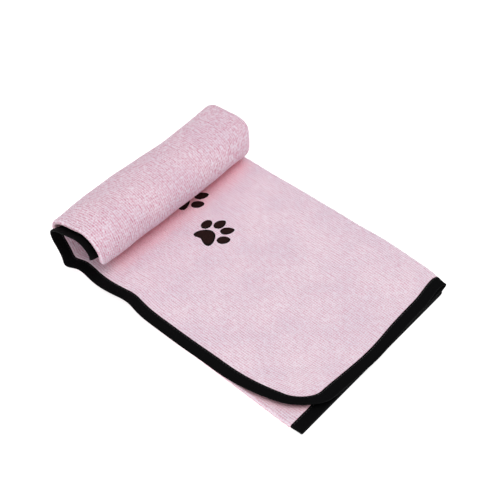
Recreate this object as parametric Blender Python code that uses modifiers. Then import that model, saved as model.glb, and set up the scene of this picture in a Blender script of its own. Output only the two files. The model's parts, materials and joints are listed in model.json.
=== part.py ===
"""A terry pet towel, folded in four lengthwise, with its far end rolled up over the flat stack.

Frame: +X towards the free front end, +Y towards the double fold, +Z up. The origin is the centre of
the flat stack's footprint, on its underside. The towel is one cloth: the rolled end is divided into
segments, each hinged to the one before on the roll's outer face, so that the roll can be laid flat.
"""
import math

import bmesh
import bpy
from mathutils import Matrix, Vector

MM = 0.001

# The folded stack
FLAT_LENGTH = 295 * MM
FOLDED_WIDTH = 225 * MM
PLY = 2.3 * MM                    # terry cloth, pile included
PLY_GAP = 0.45 * MM
PLY_COUNT = 4
TOP_EDGE_OVERHANG = 4.0 * MM      # the top ply's bound edge stands past the left fold
UNDER_EDGE_OVERHANG = 1.0 * MM
CORNER_RADIUS = 35 * MM
FOLD_STEPS = 5                    # facets round each half-turn fold

# The binding, a tape folded over the cloth's edge
TAPE = 0.5 * MM
TAPE_WIDTH = 12 * MM
TAPE_LEG = 0.85 * MM              # from the cloth's middle to the middle of each leg
BOUND_CLOTH = 0.6 * MM            # the cloth is squeezed thin inside the binding
FREE_PLAY = 0.3 * MM              # room left between pieces that touch on the real towel
NOSE_STEPS = 4

# The roll: how far each segment turns, in degrees, from the flat stack to the cloth's inner end.
# The cloth leaves the stack in a kink, stands up behind it, lies over the top and tucks under itself.
SEGMENT_TURNS = (40, 14, 34, 48, 30, 10, 12, 36, 60, 32, 38, 50)
SEGMENT_LENGTH = 15.5 * MM        # along the middle of the stack
TUCKED_LENGTH = 14.5 * MM         # of each of the last segments, up inside the roll
TUCKED_SEGMENTS = 2
SEGMENT_GAP = 0.6 * MM
FACET_TURN = math.radians(12)     # the largest turn that one facet takes

# The embroidered paw prints
PAW_CENTRES = ((-70.5 * MM, -2 * MM), (-126.5 * MM, 18 * MM))
PAW_DIRECTION = math.radians(-9)  # turned from +Y
EMBROIDERY = 0.5 * MM
TOE_SIZE = (8.2 * MM, 12.6 * MM)
TOE_FAN = ((52, 18.6 * MM, 30), (15.5, 23.2 * MM, 12), (-15.5, 23.2 * MM, -20), (-52, 18.0 * MM, -42))
THREAD = 0.25 * MM                # radius
THREAD_INSET = 10.5 * MM          # from the bound edge

# Sizes that follow
SEGMENTS = len(SEGMENT_TURNS)
TURNS = [math.radians(turn) for turn in SEGMENT_TURNS]
ROLL_TURN = sum(TURNS)
PITCH = PLY + PLY_GAP
STACK = PLY_COUNT * PLY + (PLY_COUNT - 1) * PLY_GAP
PLY_HEIGHTS = [PLY / 2 + PITCH * level for level in range(PLY_COUNT)]
FRONT = FLAT_LENGTH / 2
BEND = -FLAT_LENGTH / 2
RIGHT_FOLD_Y = FOLDED_WIDTH / 2 - PLY / 2 - 1.5 * PITCH
LEFT_FOLD_Y = -FOLDED_WIDTH / 2 + PLY / 2 + PITCH / 2
TOP_EDGE = -FOLDED_WIDTH / 2 - TOP_EDGE_OVERHANG
UNDER_EDGE = -FOLDED_WIDTH / 2 - UNDER_EDGE_OVERHANG
NOSE_INSET = TAPE / 2 + TAPE_LEG  # from the bound edge to the centre of the tape's round nose
CLOTH_INSET = TAPE + 2 * FREE_PLAY + BOUND_CLOTH / 2
THIN_INSET = TAPE_WIDTH + FREE_PLAY
THICK_INSET = THIN_INSET + 0.8 * MM
END_STRIP = THICK_INSET + 0.2 * MM # flat cloth past the roll's last segment
CORNER_X = FRONT - CORNER_RADIUS
CORNER_Y = {"top": TOP_EDGE + CORNER_RADIUS, "under": UNDER_EDGE + CORNER_RADIUS}

PINK = (0.80, 0.60, 0.68, 1.0)
BLACK = (0.012, 0.012, 0.013, 1.0)
BROWN = (0.03, 0.014, 0.012, 1.0)


def clear_scene():
    for item in list(bpy.data.objects):
        bpy.data.objects.remove(item, do_unlink=True)


def new_collection(name):
    collection = bpy.data.collections.new(name)
    bpy.context.scene.collection.children.link(collection)
    return collection


def new_material(name, colour, roughness):
    material = bpy.data.materials.new(name)
    material.use_nodes = True
    shader = material.node_tree.nodes["Principled BSDF"]
    shader.inputs["Base Color"].default_value = colour
    shader.inputs["Roughness"].default_value = roughness
    shader.inputs["Metallic"].default_value = 0.0
    return material


def place(name, data, collection, colour, roughness, parent=None):
    """Make an object of world-space data, with its origin at its parent."""
    piece = bpy.data.objects.new(name, data)
    collection.objects.link(piece)
    data.materials.append(new_material(name, colour, roughness))
    if parent:
        data.transform(Matrix.Translation(-parent.matrix_world.translation))
        piece.parent = parent
    return piece


def mesh_from(bm, name):
    mesh = bpy.data.meshes.new(name)
    bm.to_mesh(mesh)
    bm.free()
    mesh.shade_smooth()
    mesh.set_sharp_from_angle(angle=math.radians(50))
    return mesh


def thicken(piece, thickness):
    solidify = piece.modifiers.new("Thickness", "SOLIDIFY")
    solidify.thickness = thickness
    solidify.offset = 0
    solidify.use_even_offset = True
    return solidify


# Drawing an outline and sweeping it

def draw(bm, points):
    """Draw a chain of edges through the points."""
    verts = [bm.verts.new(point) for point in points]
    return [bm.edges.new(pair) for pair in zip(verts, verts[1:])]


def weigh(bm, verts, weight):
    """Give vertices a share of the full thickness; what is swept from them inherits it."""
    layer = bm.verts.layers.deform.verify()
    for vert in verts:
        vert[layer][0] = weight


def sweep_line(bm, edges, offset):
    """Extrude the edges along a straight line and return the new edges."""
    made = bmesh.ops.extrude_edge_only(bm, edges=edges)["geom"]
    verts = {item for item in made if isinstance(item, bmesh.types.BMVert)}
    bmesh.ops.translate(bm, verts=list(verts), vec=offset)
    is_end = lambda item: isinstance(item, bmesh.types.BMEdge) and verts.issuperset(item.verts)
    return [item for item in made if is_end(item)]


def sweep_turn(bm, edges, centre, axis, angle, steps):
    """Turn the edges about an axis and return the new edges."""
    verts = list({vert for edge in edges for vert in edge.verts})
    made = bmesh.ops.spin(bm, geom=verts + edges, cent=centre, axis=axis, angle=angle, steps=steps,
                          use_duplicate=False)
    return [item for item in made["geom_last"] if isinstance(item, bmesh.types.BMEdge)]


def arc(centre, radius, start, end, steps):
    """Points on a circle in a plane, from the start angle to the end angle in degrees."""
    angles = [math.radians(start + (end - start) * step / steps) for step in range(steps + 1)]
    return [(centre[0] + radius * math.cos(angle), centre[1] + radius * math.sin(angle)) for angle in angles]


# Sections, as (y, height above the outer face) pairs

def edge_stations(edge, beyond):
    """Where a ply changes thickness: its edge, the two ends of its thin margin, and the open cloth."""
    return [edge + CLOTH_INSET, edge + THIN_INSET, edge + THICK_INSET, beyond]


def cloth_section():
    """The cloth's middle line across the folds, from the top bound edge to the under bound edge."""
    bottom, third, second, top = PLY_HEIGHTS
    middle = STACK / 2
    section = [(y, top) for y in edge_stations(TOP_EDGE, RIGHT_FOLD_Y)[:-1]]
    section += arc((RIGHT_FOLD_Y, middle), 1.5 * PITCH, 90, -90, FOLD_STEPS + 3)
    section += arc((LEFT_FOLD_Y, (bottom + third) / 2), PITCH / 2, 270, 90, FOLD_STEPS)
    section += arc((RIGHT_FOLD_Y, middle), PITCH / 2, -90, 90, FOLD_STEPS)
    section += [(y, second) for y in reversed(edge_stations(UNDER_EDGE, RIGHT_FOLD_Y)[:-1])]
    return section


def tape_section(edge, height):
    """A U that opens towards +Y and holds the edge of one ply."""
    leg_end = edge + TAPE_WIDTH
    nose = arc((edge + NOSE_INSET, height), TAPE_LEG, 90, 270, NOSE_STEPS)
    return [(leg_end, height + TAPE_LEG)] + nose + [(leg_end, height - TAPE_LEG)]


BOUND_EDGES = {"top": (TOP_EDGE, PLY_HEIGHTS[3]), "under": (UNDER_EDGE, PLY_HEIGHTS[2])}


# The roll's path

def segment_radius(index):
    """Radius of the stack's middle in one segment of the roll."""
    tucked = index >= SEGMENTS - TUCKED_SEGMENTS
    return (TUCKED_LENGTH if tucked else SEGMENT_LENGTH) / TURNS[index]


def roll_path():
    """Each segment's hinge on the outer face, direction towards the inside, and arc centre."""
    hinge = Vector((BEND, 0, 0))
    turned = 0
    path = []
    for index, turn in enumerate(TURNS):
        inward = Vector((math.sin(turned), 0, math.cos(turned)))
        outer_radius = segment_radius(index) + STACK / 2
        centre = hinge + inward * outer_radius
        path.append((hinge, inward, centre))
        turned += turn
        hinge = centre - Vector((math.sin(turned), 0, math.cos(turned))) * outer_radius
    return path


def roll_points(section, step, index):
    """Set a section's points at the start of a segment, past half of the gap."""
    hinge, inward, centre = step
    gap_turn = SEGMENT_GAP / 2 / segment_radius(index)
    points = [hinge + Vector((0, y, 0)) + inward * height for y, height in section]
    turn = Matrix.Rotation(gap_turn, 3, "Y")
    return [centre + turn @ (point - centre) for point in points]


def sweep_segment(bm, edges, step, index):
    """Turn a section through one segment of the roll, short of the gap to the next."""
    angle = TURNS[index] - SEGMENT_GAP / segment_radius(index)
    return sweep_turn(bm, edges, step[2], (0, 1, 0), angle, math.ceil(angle / FACET_TURN))


# The cloth

def draw_cloth(bm, points):
    """Draw the cloth's section, squeezed in the margins that the side bindings hold."""
    edges = draw(bm, points)
    bm.verts.ensure_lookup_table()
    weigh(bm, bm.verts, 1.0)
    weigh(bm, [bm.verts[index] for index in (0, 1, -2, -1)], BOUND_CLOTH / PLY)
    return edges


def sweep_to_end(bm, edges, direction, stations):
    """Carry the cloth on to its end, squeezed from the second station on."""
    reached = 0
    for number, station in enumerate(stations):
        edges = sweep_line(bm, edges, direction * (station - reached))
        if number:
            weigh(bm, {vert for edge in edges for vert in edge.verts}, BOUND_CLOTH / PLY)
        reached = station


def thicken_cloth(piece):
    group = piece.vertex_groups.new(name="open_cloth")
    solidify = thicken(piece, PLY)
    solidify.vertex_group = group.name


def corner_cutter(name, side, inner_radius, low, high, guides):
    """Everything outside a quarter circle at the front left corner, between two heights."""
    beyond = 3 * MM
    y_corner = CORNER_Y[side]
    y_outer = y_corner - CORNER_RADIUS - beyond
    x_outer = FRONT + beyond
    outline = arc((CORNER_X, y_corner), inner_radius, -90, 0, 8)
    outline += [(x_outer, y_corner), (x_outer, y_outer), (CORNER_X, y_outer)]
    bm = bmesh.new()
    face = bm.faces.new([bm.verts.new((x, y, low)) for x, y in outline])
    made = bmesh.ops.extrude_face_region(bm, geom=[face])["geom"]
    raised = [item for item in made if isinstance(item, bmesh.types.BMVert)]
    bmesh.ops.translate(bm, verts=raised, vec=(0, 0, high - low))
    bmesh.ops.recalc_face_normals(bm, faces=bm.faces)
    cutter = bpy.data.objects.new(name, mesh_from(bm, name))
    guides.objects.link(cutter)
    cutter.hide_render = True
    cutter.display_type = "WIRE"
    return cutter


def round_corners(piece, guides):
    """Round the front left corners of the two bound plies and thin them under the binding."""
    web = BOUND_CLOTH / 2 + 0.02 * MM
    reach = PITCH / 2
    for side, height in (("top", PLY_HEIGHTS[3]), ("under", PLY_HEIGHTS[2])):
        inner = CORNER_RADIUS - THIN_INSET
        bands = (
            ("over", inner, height + web, height + reach),
            ("below", inner, height - reach, height - web),
            ("edge", CORNER_RADIUS - CLOTH_INSET, height - reach, height + reach),
        )
        for label, radius, low, high in bands:
            cutter = corner_cutter(f"cut_{side}_{label}", side, radius, low, high, guides)
            cut = piece.modifiers.new(f"Corner {side} {label}", "BOOLEAN")
            cut.object = cutter
            cut.operation = "DIFFERENCE"
            cut.solver = "EXACT"


def make_flat_cloth(parts, guides):
    bm = bmesh.new()
    start = BEND + SEGMENT_GAP / 2
    edges = draw_cloth(bm, [(start, y, z) for y, z in cloth_section()])
    stations = [FRONT - start - inset for inset in (THICK_INSET, THIN_INSET, CLOTH_INSET)]
    sweep_to_end(bm, edges, Vector((1, 0, 0)), stations)
    piece = place("flat_cloth", mesh_from(bm, "flat_cloth"), parts, PINK, 0.95)
    thicken_cloth(piece)
    round_corners(piece, guides)


def make_roll_cloth(index, step, parts, pivot):
    name = f"roll_cloth_{index + 1:02d}"
    bm = bmesh.new()
    edges = draw_cloth(bm, roll_points(cloth_section(), step, index))
    edges = sweep_segment(bm, edges, step, index)
    if index == SEGMENTS - 1:
        onward = Matrix.Rotation(ROLL_TURN, 3, "Y") @ Vector((-1, 0, 0))
        stations = [END_STRIP - inset for inset in (THICK_INSET, THIN_INSET, CLOTH_INSET)]
        sweep_to_end(bm, edges, onward, stations)
    thicken_cloth(place(name, mesh_from(bm, name), parts, PINK, 0.95, pivot))


# The binding

def make_side_binding(side, parts):
    """Tape along one bound edge of the flat stack and round its front corner."""
    edge, height = BOUND_EDGES[side]
    start = BEND + SEGMENT_GAP / 2
    bm = bmesh.new()
    edges = draw(bm, [(start, y, z) for y, z in tape_section(edge, height)])
    edges = sweep_line(bm, edges, (CORNER_X - start, 0, 0))
    sweep_turn(bm, edges, (CORNER_X, CORNER_Y[side], 0), (0, 0, 1), math.radians(90), 8)
    name = f"side_binding_{side}"
    thicken(place(name, mesh_from(bm, name), parts, BLACK, 0.7), TAPE)


def end_binding(name, end_x, facing, top_start, under_end):
    """One tape along an end of the cloth, over every fold; facing is +1 or -1 along X."""
    top = PLY_HEIGHTS[3]
    nose = arc((NOSE_INSET, top), TAPE_LEG, 90, 270, NOSE_STEPS)
    section = [(TAPE_WIDTH, top + TAPE_LEG)] + nose + [(TAPE_WIDTH, top - TAPE_LEG)]
    bm = bmesh.new()
    edges = draw(bm, [(end_x - facing * depth, top_start, z) for depth, z in section])
    sweep_over_folds(bm, edges, top_start, under_end)
    return mesh_from(bm, name)


def make_front_binding(parts):
    mesh = end_binding("front_binding", FRONT, 1, CORNER_Y["top"] + FREE_PLAY, CORNER_Y["under"] + FREE_PLAY)
    thicken(place("front_binding", mesh, parts, BLACK, 0.7), TAPE)


def make_inner_binding(step, parts, pivot):
    """The tape on the cloth's other end, curled up inside the roll."""
    mesh = end_binding("inner_binding", -END_STRIP, -1, TOP_EDGE, UNDER_EDGE)
    centre = step[2]
    turn = Matrix.Rotation(ROLL_TURN, 4, "Y")
    outer_radius = segment_radius(SEGMENTS - 1) + STACK / 2
    segment_end = centre + turn @ Vector((0, 0, -outer_radius))
    mesh.transform(Matrix.Translation(segment_end) @ turn)
    thicken(place("inner_binding", mesh, parts, BLACK, 0.7, pivot), TAPE)


def sweep_over_folds(bm, edges, start, end):
    """Carry a tape's section along the top ply, down and up through the folds to the under ply."""
    half_turn = math.pi
    middle = (0, RIGHT_FOLD_Y, STACK / 2)
    low_fold = (0, LEFT_FOLD_Y, (PLY_HEIGHTS[0] + PLY_HEIGHTS[1]) / 2)
    across = RIGHT_FOLD_Y - LEFT_FOLD_Y
    edges = sweep_line(bm, edges, (0, RIGHT_FOLD_Y - start, 0))
    edges = sweep_turn(bm, edges, middle, (-1, 0, 0), half_turn, FOLD_STEPS + 3)
    edges = sweep_line(bm, edges, (0, -across, 0))
    edges = sweep_turn(bm, edges, low_fold, (-1, 0, 0), half_turn, FOLD_STEPS)
    edges = sweep_line(bm, edges, (0, across, 0))
    edges = sweep_turn(bm, edges, middle, (1, 0, 0), half_turn, FOLD_STEPS)
    sweep_line(bm, edges, (0, end - RIGHT_FOLD_Y, 0))


def make_roll_binding(side, index, step, parts, pivot):
    name = f"roll_binding_{side}_{index + 1:02d}"
    bm = bmesh.new()
    edges = draw(bm, roll_points(tape_section(*BOUND_EDGES[side]), step, index))
    sweep_segment(bm, edges, step, index)
    thicken(place(name, mesh_from(bm, name), parts, BLACK, 0.7, pivot), TAPE)


# Thread and embroidery

def make_seam_thread(parts):
    """The seam that holds the binding along the top ply, round its corner."""
    height = PLY_HEIGHTS[3] + TAPE_LEG + TAPE / 2 + FREE_PLAY + THREAD
    seam = [(BEND + SEGMENT_GAP, TOP_EDGE + THREAD_INSET)]
    seam += arc((CORNER_X, CORNER_Y["top"]), CORNER_RADIUS - THREAD_INSET, -90, 0, 6)
    seam += [(FRONT - THREAD_INSET, RIGHT_FOLD_Y)]
    curve = bpy.data.curves.new("seam_thread", "CURVE")
    curve.dimensions = "3D"
    curve.bevel_depth = THREAD
    curve.bevel_resolution = 1
    curve.use_fill_caps = True
    spline = curve.splines.new("POLY")
    spline.points.add(len(seam) - 1)
    for point, (x, y) in zip(spline.points, seam):
        point.co = (x, y, height, 1)
    place("seam_thread", curve, parts, BLACK, 0.6)


def filled_outline(name, points, parts, height):
    """A flat embroidered patch with a smooth closed outline."""
    curve = bpy.data.curves.new(name, "CURVE")
    curve.dimensions = "2D"
    curve.fill_mode = "BOTH"
    curve.extrude = EMBROIDERY / 2
    curve.resolution_u = 4
    spline = curve.splines.new("BEZIER")
    spline.bezier_points.add(len(points) - 1)
    for point, (x, y) in zip(spline.bezier_points, points):
        point.co = (x, y, 0)
        point.handle_left_type = "AUTO"
        point.handle_right_type = "AUTO"
    spline.use_cyclic_u = True
    piece = place(name, curve, parts, BROWN, 0.6)
    piece.location.z = height
    return piece


def make_paw(number, centre, parts):
    """A pad and four toes, fanned about the paw's direction."""
    height = STACK + FREE_PLAY + EMBROIDERY / 2
    turn = Matrix.Rotation(PAW_DIRECTION, 2)
    pad = [(-12 * MM, -4.5 * MM), (-9.5 * MM, 4.5 * MM), (0, 10 * MM), (9.5 * MM, 4.5 * MM),
           (12 * MM, -4.5 * MM), (7 * MM, -9 * MM), (0, -5.5 * MM), (-7 * MM, -9 * MM)]
    turned_pad = [Vector(centre) + turn @ Vector(point) for point in pad]
    filled_outline(f"paw_{number}_pad", turned_pad, parts, height)
    for toe, (fan, reach, tilt) in enumerate(TOE_FAN, 1):
        middle = Vector(centre) + turn @ (Matrix.Rotation(math.radians(fan), 2) @ Vector((0, reach)))
        tilted = turn @ Matrix.Rotation(math.radians(tilt), 2)
        across, along = TOE_SIZE[0] / 2, TOE_SIZE[1] / 2
        outline = [(0, -along), (-across, 0), (0, along), (across, 0)]
        toe_points = [middle + tilted @ Vector(point) for point in outline]
        filled_outline(f"paw_{number}_toe_{toe}", toe_points, parts, height)


def make_pivots(path, guides):
    """An empty on each hinge, each one held by the hinge before it."""
    pivots = []
    for index, (hinge, _, _) in enumerate(path):
        pivot = bpy.data.objects.new(f"pivot_{index + 1:02d}", None)
        guides.objects.link(pivot)
        pivot.empty_display_size = 5 * MM
        if pivots:
            pivot.parent = pivots[-1]
            pivot.location = hinge - path[index - 1][0]
        else:
            pivot.location = hinge
        pivots.append(pivot)
    bpy.context.view_layer.update()
    return pivots


def build():
    clear_scene()
    parts = new_collection("pet_towel")
    guides = new_collection("guides")
    make_flat_cloth(parts, guides)
    make_front_binding(parts)
    make_seam_thread(parts)
    for side in BOUND_EDGES:
        make_side_binding(side, parts)
    for number, centre in enumerate(PAW_CENTRES, 1):
        make_paw(number, centre, parts)
    path = roll_path()
    pivots = make_pivots(path, guides)
    for index, step in enumerate(path):
        make_roll_cloth(index, step, parts, pivots[index])
        for side in BOUND_EDGES:
            make_roll_binding(side, index, step, parts, pivots[index])
    make_inner_binding(path[-1], parts, pivots[-1])


build()
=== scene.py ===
"""Looks of the folded and rolled pet towel: ribbed terry, bound edges, lockstitches and paw prints.

The whole towel is one cloth, so everything is drawn on the laid-out cloth and draped by one mapping,
surface_point(). A place on the laid-out cloth has two coordinates. "Along" is 0 where the roll leaves
the flat stack, negative on the stack and positive up the roll. "Across" runs from the top ply's bound
edge through the three folds to the under ply's bound edge. "Offset" is the height over the cloth's
middle surface, positive on the face that shows on top of the stack and on the outside of the roll.

The cloth is cut into patches from the middle of one roll segment to the middle of the next.
"""
import json
import math

import bpy
import numpy as np
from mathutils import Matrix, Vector


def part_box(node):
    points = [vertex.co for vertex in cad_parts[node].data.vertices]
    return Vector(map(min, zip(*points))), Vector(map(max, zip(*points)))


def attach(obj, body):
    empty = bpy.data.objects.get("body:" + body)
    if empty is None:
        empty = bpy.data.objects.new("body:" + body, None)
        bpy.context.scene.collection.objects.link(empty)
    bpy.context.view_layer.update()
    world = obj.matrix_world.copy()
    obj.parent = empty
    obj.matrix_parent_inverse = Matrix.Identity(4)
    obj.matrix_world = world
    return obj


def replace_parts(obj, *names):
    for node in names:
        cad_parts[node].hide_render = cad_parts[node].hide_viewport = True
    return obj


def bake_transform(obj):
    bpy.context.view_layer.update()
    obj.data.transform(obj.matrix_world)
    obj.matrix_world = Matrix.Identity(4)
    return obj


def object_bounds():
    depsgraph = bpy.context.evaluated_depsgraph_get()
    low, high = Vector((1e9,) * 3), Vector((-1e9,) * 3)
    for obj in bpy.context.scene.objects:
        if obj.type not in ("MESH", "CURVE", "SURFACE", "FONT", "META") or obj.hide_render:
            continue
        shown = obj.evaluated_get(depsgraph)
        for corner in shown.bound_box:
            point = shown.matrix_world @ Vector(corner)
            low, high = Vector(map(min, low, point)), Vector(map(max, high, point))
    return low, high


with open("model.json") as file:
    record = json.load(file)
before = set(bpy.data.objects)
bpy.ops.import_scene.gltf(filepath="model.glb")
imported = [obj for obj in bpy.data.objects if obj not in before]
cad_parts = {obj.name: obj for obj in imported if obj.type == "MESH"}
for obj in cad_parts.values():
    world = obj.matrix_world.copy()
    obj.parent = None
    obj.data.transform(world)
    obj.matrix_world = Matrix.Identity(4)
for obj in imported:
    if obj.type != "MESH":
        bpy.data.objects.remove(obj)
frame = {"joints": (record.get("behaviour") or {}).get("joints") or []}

cad_low, cad_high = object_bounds()

MM = 0.001

# Sizes from the frame
HINGES = [Vector(joint["pos_m"]) for joint in frame["joints"]]
REACHES = [math.radians(joint["range_deg"][1]) for joint in frame["joints"]]
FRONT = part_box("front_binding")[1].x
BEND = HINGES[0].x
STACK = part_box("flat_cloth")[1].z
SIDE_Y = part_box("flat_cloth")[1].y
TOP_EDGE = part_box("side_binding_top")[0].y
UNDER_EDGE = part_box("side_binding_under")[0].y

# The cloth
PLY = 2.3 * MM
PLY_COUNT = 4
CORNER_RADIUS = 35 * MM
RIB_PITCH = 2.3 * MM
RIB_HEIGHT = 0.24 * MM
RIB_WANDER = 0.7 * MM
LOOP_PITCH = 3.1 * MM
LOOP_HEIGHT = 0.10 * MM
BEAD_PITCH = 2.3 * MM
SQUEEZED = 0.45 * MM              # half the cloth's thickness inside the binding

# The binding and its seam
TAPE = 0.5 * MM
TAPE_WIDTH = 12 * MM
TAPE_HALF = 1.1 * MM              # from the cloth's middle surface to the tape's face
TAPE_LIP = 0.3 * MM               # how far the tape's edges are pressed into the cloth
CLOTH_INSET = 1.0 * MM            # from the bound edge to the cloth inside the tape
END_STRIP = 13.3 * MM             # flat cloth past the roll's last segment
SEAM_INSET = 10.3 * MM
STITCH_PITCH = 3.2 * MM
STITCH_LENGTH = 2.3 * MM
STITCH_RADIUS = 0.22 * MM
STITCH_SIDES = 6
PUCKER_PITCH = 8.5 * MM
PUCKER_HEIGHT = 0.22 * MM

# How the real roll is less regular than its hinges: degrees more than the hinges' turn that each end
# of the roll has turned at each segment's far end. Lean is 1 at the left end and -1 at the right.
LEFT_EXTRA = (12, -2, -8, 1, -16, -11, -2, -3, -32, -16, -9, -6)
RIGHT_EXTRA = (-1, 2, -12, -17, 6, 10, 1, -6, -7, 0, 5, 3)
LEAN_SPAN = 112 * MM
LEAN_POWER = 1.4                  # above 1, most of the lean is near the ends
LEAN_SHIFT = 3 * MM
BEND_RUN = 8 * MM                 # how far before the first hinge the flat cloth starts to turn
CURVATURE_BLUR = 3 * MM

# Sideways slips, in plain mm like the numbers that ramp() and mound() take
UNDER_SLIP = 9                    # of the under ply's bound edge
CORNER_DRAW = 25                  # of both bound edges at the front corner

# Mesh density
RIB_STEP = 0.46 * MM
PLAIN_STEP = 3 * MM
FLAT_STEP = 2.2 * MM
ROLL_STEP = 1.3 * MM
TAPE_STEP = 2.5 * MM
TABLE_STEP = 0.25 * MM
CURL_STEP = 0.8 * MM              # of the rows at the front end, and of the tape round a fold
CURL_BEFORE = 1 * MM
CURL_AFTER = 14 * MM
FRONT_ZONE = 20 * MM              # how far the close rows at the front end reach
SPARE = 0.5 * MM                  # from a patch's last row to the spare row that only gives normals

# Sizes that follow
PITCH = (STACK - PLY) / (PLY_COUNT - 1)
MIDDLE = STACK / 2
OUTER_FOLD = (PLY_COUNT - 1) * PITCH / 2
INNER_FOLD = PITCH / 2
RIGHT_FOLD_Y = SIDE_Y - PLY / 2 - OUTER_FOLD
LEFT_FOLD_Y = -SIDE_Y + PLY / 2 + INNER_FOLD
FLAT_LENGTH = FRONT - BEND


def segment_turns():
    """Each joint's reach is half the turn of the segment before it and half of its own."""
    turns = []
    before = 0
    for reach in REACHES:
        turns.append(2 * reach - before)
        before = turns[-1]
    return turns


def segment_lengths(turns):
    """Each segment's length along the middle of the stack, from the chord between its hinges."""
    lengths = []
    for here, there, turn in zip(HINGES, HINGES[1:], turns):
        outer_radius = (there - here).length / (2 * math.sin(turn / 2))
        lengths.append((outer_radius - MIDDLE) * turn)
    return lengths + lengths[-1:]


TURNS = segment_turns()
LENGTHS = segment_lengths(TURNS)
ENDS = np.cumsum([0] + LENGTHS)
MIDS = (ENDS[:-1] + ENDS[1:]) / 2
ROLL_LENGTH = ENDS[-1] + END_STRIP


def smooth(t):
    t = np.clip(t, 0, 1)
    return t * t * (3 - 2 * t)


def hill(t):
    return np.exp(-t * t)


def ramp(place, start, run):
    """0 before the start and 1 after the run that follows it, both in mm."""
    return smooth((place - start * MM) / (run * MM))


def mound(place, middle, reach):
    """1 at the middle, fading to 0 a little beyond its reach on each side, both in mm."""
    return hill((place - middle * MM) / (reach * MM))


# ---------------------------------------------------------------- lines of straights and arcs

def route(x, y, heading, plan):
    """Table of a line of straights and arcs. Plan holds each one's length and curvature."""
    rows = []
    start = 0
    for length, curvature in plan:
        rows.append((start, x, y, heading, curvature))
        turned = heading + curvature * length
        if curvature:
            x += (math.sin(turned) - math.sin(heading)) / curvature
            y -= (math.cos(turned) - math.cos(heading)) / curvature
        else:
            x += length * math.cos(heading)
            y += length * math.sin(heading)
        heading = turned
        start += length
    return np.array(rows), start


def follow(table, distance):
    """Place and heading at each distance along a route."""
    row = np.clip(np.searchsorted(table[:, 0], distance, side="right") - 1, 0, len(table) - 1)
    start, x, y, heading, curvature = np.moveaxis(table[row], -1, 0)
    length = distance - start
    turned = heading + curvature * length
    bent = curvature != 0
    radius = 1 / np.where(bent, curvature, 1)
    x = x + np.where(bent, radius * (np.sin(turned) - np.sin(heading)), length * np.cos(heading))
    y = y + np.where(bent, -radius * (np.cos(turned) - np.cos(heading)), length * np.sin(heading))
    return x, y, turned


FOLD_PLAN = (
    (RIGHT_FOLD_Y - TOP_EDGE, 0),
    (math.pi * OUTER_FOLD, -1 / OUTER_FOLD),
    (RIGHT_FOLD_Y - LEFT_FOLD_Y, 0),
    (math.pi * INNER_FOLD, -1 / INNER_FOLD),
    (RIGHT_FOLD_Y - LEFT_FOLD_Y, 0),
    (math.pi * INNER_FOLD, 1 / INNER_FOLD),
    (RIGHT_FOLD_Y - UNDER_EDGE, 0),
)
FOLDS, CLOTH_WIDTH = route(TOP_EDGE, STACK - PLY / 2, 0, FOLD_PLAN)
TOP_PLY_END = FOLDS[1, 0]
UNDERSIDE_START = FOLDS[2, 0]
LEFT_FOLD_START = FOLDS[3, 0]
LEFT_FOLD_END = FOLDS[4, 0]


# ---------------------------------------------------------------- the roll's profile

def roll_table():
    """Place and heading of the stack's middle surface, for a range of leans and of places along."""
    along = np.arange(-FLAT_LENGTH - 5 * MM, ROLL_LENGTH + 5 * MM, TABLE_STEP)
    curvature = np.zeros_like(along)
    for start, end, turn in zip(ENDS, ENDS[1:], TURNS):
        curvature[(along >= start) & (along < end)] = turn / (end - start)
    reach = np.arange(-3 * CURVATURE_BLUR, 3 * CURVATURE_BLUR, TABLE_STEP)
    kernel = hill(reach / CURVATURE_BLUR)
    kernel /= kernel.sum()
    heading = np.cumsum(np.convolve(curvature, kernel, mode="same")) * TABLE_STEP
    lean = np.linspace(-1.2, 1.2, 25)[:, None]
    for share, degrees in ((np.maximum(lean, 0), LEFT_EXTRA), (np.maximum(-lean, 0), RIGHT_EXTRA)):
        extra = np.interp(along, ENDS, np.radians((0,) + degrees))
        heading = heading + share ** LEAN_POWER * np.convolve(extra, kernel, mode="same")
    shift = LEAN_SHIFT * lean * smooth(along / (60 * MM) + 1)
    x = BEND - along[0] + shift - np.cumsum(np.cos(heading), axis=1) * TABLE_STEP
    z = MIDDLE + np.cumsum(np.sin(heading), axis=1) * TABLE_STEP
    return along[0], lean[:, 0], np.stack([x, z, heading])


TABLE_START, TABLE_LEANS, TABLE = roll_table()


def profile(along, lean):
    """x, z and heading of the stack's middle surface."""
    short = 1.001                 # keeps the neighbouring row and column inside the table
    column = (along - TABLE_START) / TABLE_STEP
    column = np.clip(column, 0, TABLE.shape[2] - short)
    row = (lean - TABLE_LEANS[0]) / (TABLE_LEANS[1] - TABLE_LEANS[0])
    row = np.clip(row, 0, TABLE.shape[1] - short)
    j, i = column.astype(int), row.astype(int)
    v, u = column - j, row - i
    near = TABLE[:, i, j] * (1 - v) + TABLE[:, i, j + 1] * v
    far = TABLE[:, i + 1, j] * (1 - v) + TABLE[:, i + 1, j + 1] * v
    return near * (1 - u) + far * u


# ---------------------------------------------------------------- how the cloth really lies

def ripple(x, y, long, wide):
    """Slow waves between about -1 and 1, with no direction that stands out."""
    x = 2 * math.pi * x / long
    y = 2 * math.pi * y / wide
    return (0.5 * np.sin(x + 0.45 * y + 0.7) + 0.35 * np.sin(1.6 * x - 1.3 * y + 2.1)
            + 0.25 * np.sin(0.7 * x + 2.1 * y + 4.0))


def edge_nearness(across):
    """1 at the top ply's bound edge and 1 at the under ply's, falling to 0 towards the folds."""
    reach = 130 * MM
    return np.clip(1 - across / reach, 0, 1) ** 2, np.clip(1 - (CLOTH_WIDTH - across) / reach, 0, 1) ** 2


def side_nearness(y):
    """1 at the towel's left side and 1 at its right side, each falling to 0 by about the middle."""
    return smooth(0.1 - y / (110 * MM)), ramp(y, 30, 75)


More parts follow.
